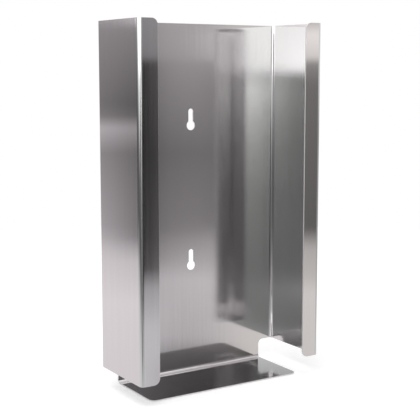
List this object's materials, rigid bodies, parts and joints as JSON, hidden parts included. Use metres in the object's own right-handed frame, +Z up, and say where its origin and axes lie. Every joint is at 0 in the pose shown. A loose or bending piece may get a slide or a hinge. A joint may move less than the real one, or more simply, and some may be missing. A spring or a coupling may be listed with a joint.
{
  "type": "disposable glove dispenser",
  "caption": "Wall holder folded from brushed stainless sheet, with an open front and top, side walls, front lips, a bottom shelf tab and keyholes, for a box of disposable gloves.",
  "frame": {"origin": "middle of the footprint, on the plane of the shelf's underside, which the holder stands on", "axes": "+Z up, +X to the right for someone who faces the open front, +Y towards the wall that the back lies on"},
  "size_m": [0.15, 0.06, 0.26],
  "materials": {
    "stainless_sheet": "fine brushed stainless with a fairly sharp reflection, unpainted, with bright laser-cut edges"
  },
  "bodies": {
    "root": {"holder": "stainless_sheet"}
  },
  "joints": []
}
